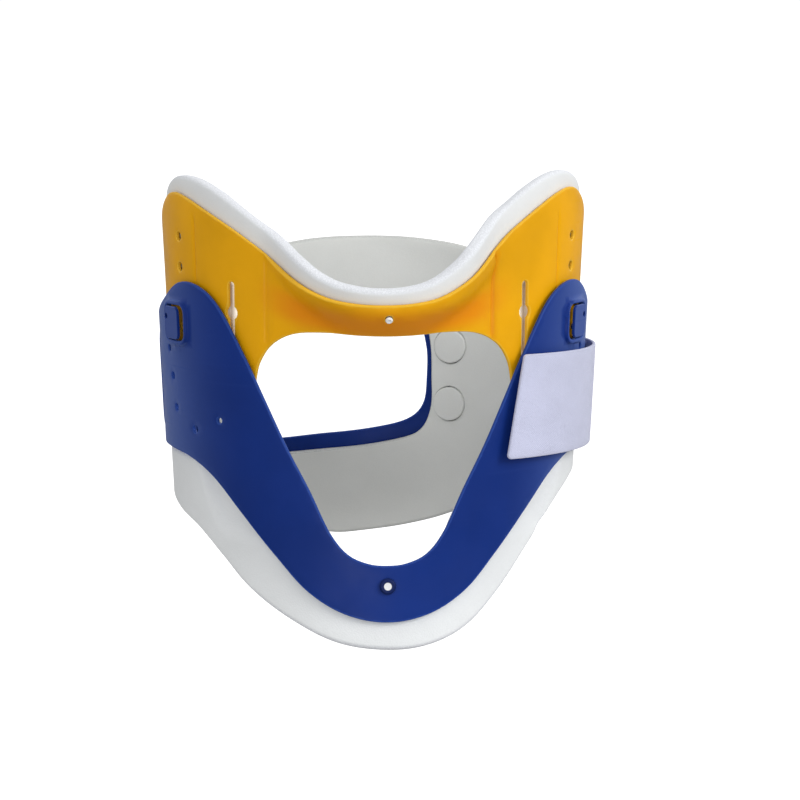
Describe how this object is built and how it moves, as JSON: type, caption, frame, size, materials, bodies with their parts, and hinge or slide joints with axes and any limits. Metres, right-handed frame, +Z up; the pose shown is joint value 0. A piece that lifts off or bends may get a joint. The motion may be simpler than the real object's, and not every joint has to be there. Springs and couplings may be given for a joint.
{
  "type": "adjustable cervical collar",
  "caption": "Rigid neck brace: blue chest piece with a yellow chin piece that slides in it for height, a hinged rear panel, foam pads and a hook-and-loop side strap.",
  "frame": {"origin": "on the neck's axis, half way up the side walls of the chest piece", "axes": "+Z is up along the neck, the front of the collar and the wearer's chin face -Y, and +X is the wearer's left side, where the strap closes"},
  "size_m": [0.1778, 0.1674, 0.1813],
  "materials": {
    "yellow_shell": "bright orange-yellow polyethylene sheet, satin",
    "blue_shell": "navy blue polyethylene sheet, satin",
    "blue_rivet": "dark blue moulded rivet",
    "pale_foam": "pale closed-cell foam padding, fine skin",
    "grey_foam": "light grey closed-cell foam padding",
    "lilac_web": "pale lilac brushed loop webbing",
    "hook_tape": "white hook tape",
    "loop_tape": "dark blue loop tape",
    "white_rivet": "white nylon rivet or washer"
  },
  "bodies": {
    "front": {"chest_shell": "blue_shell", "chest_foam": "pale_foam", "chest_rivet": "blue_rivet", "chest_rivet_cap": "white_rivet", "front_loop_patch": "loop_tape", "guide_stud_left": "blue_shell", "guide_stud_right": "blue_shell", "guide_washer_left": "white_rivet", "guide_washer_right": "white_rivet", "rear_tab": "blue_shell", "side_rivet_lower": "white_rivet", "side_rivet_upper": "white_rivet", "side_washer_lower": "white_rivet", "side_washer_upper": "white_rivet"},
    "chin": {"chin_shell": "yellow_shell", "chin_foam": "pale_foam", "chin_rivet": "white_rivet", "chin_rivet_cap": "white_rivet"},
    "lock_left": {"size_lock_left": "blue_shell"},
    "lock_right": {"size_lock_right": "blue_shell"},
    "rear": {"rear_shell": "blue_shell", "rear_foam": "grey_foam", "strap_root": "lilac_web", "strap_rivet_lower": "white_rivet", "strap_rivet_upper": "white_rivet", "strap_washer_lower": "white_rivet", "strap_washer_upper": "white_rivet", "rivet_cover_lower": "grey_foam", "rivet_cover_upper": "grey_foam"},
    "strap": {"closure_strap": "lilac_web", "strap_hook_pad": "hook_tape"}
  },
  "joints": [
    {"name": "chin_height", "type": "slide", "parent": "front", "child": "chin", "axis": [0, 0, 1], "range_m": [-0.036, 0]},
    {"name": "lock_left_press", "type": "slide", "parent": "front", "child": "lock_left", "axis": [0.9046, 0.4242, 0.0428], "range_m": [0, 0.0023]},
    {"name": "lock_right_press", "type": "slide", "parent": "front", "child": "lock_right", "axis": [-0.8727, 0.4866, 0.04], "range_m": [0, 0.0023]},
    {"name": "rear_open", "type": "hinge", "parent": "front", "child": "rear", "pos_m": [-0.07572, 0.03842, -0.00028], "axis": [-0.0388, 0.0227, 0.999], "range_deg": [0, 60]},
    {"name": "strap_peel", "type": "hinge", "parent": "rear", "child": "strap", "pos_m": [0.04755, 0.06406, -0.00017], "axis": [0.0242, 0.0379, 0.999], "range_deg": [0, 90]}
  ],
  "couplings": [
    {"joint": "strap_peel", "follows": "rear_open", "ratio": 1.5}
  ]
}
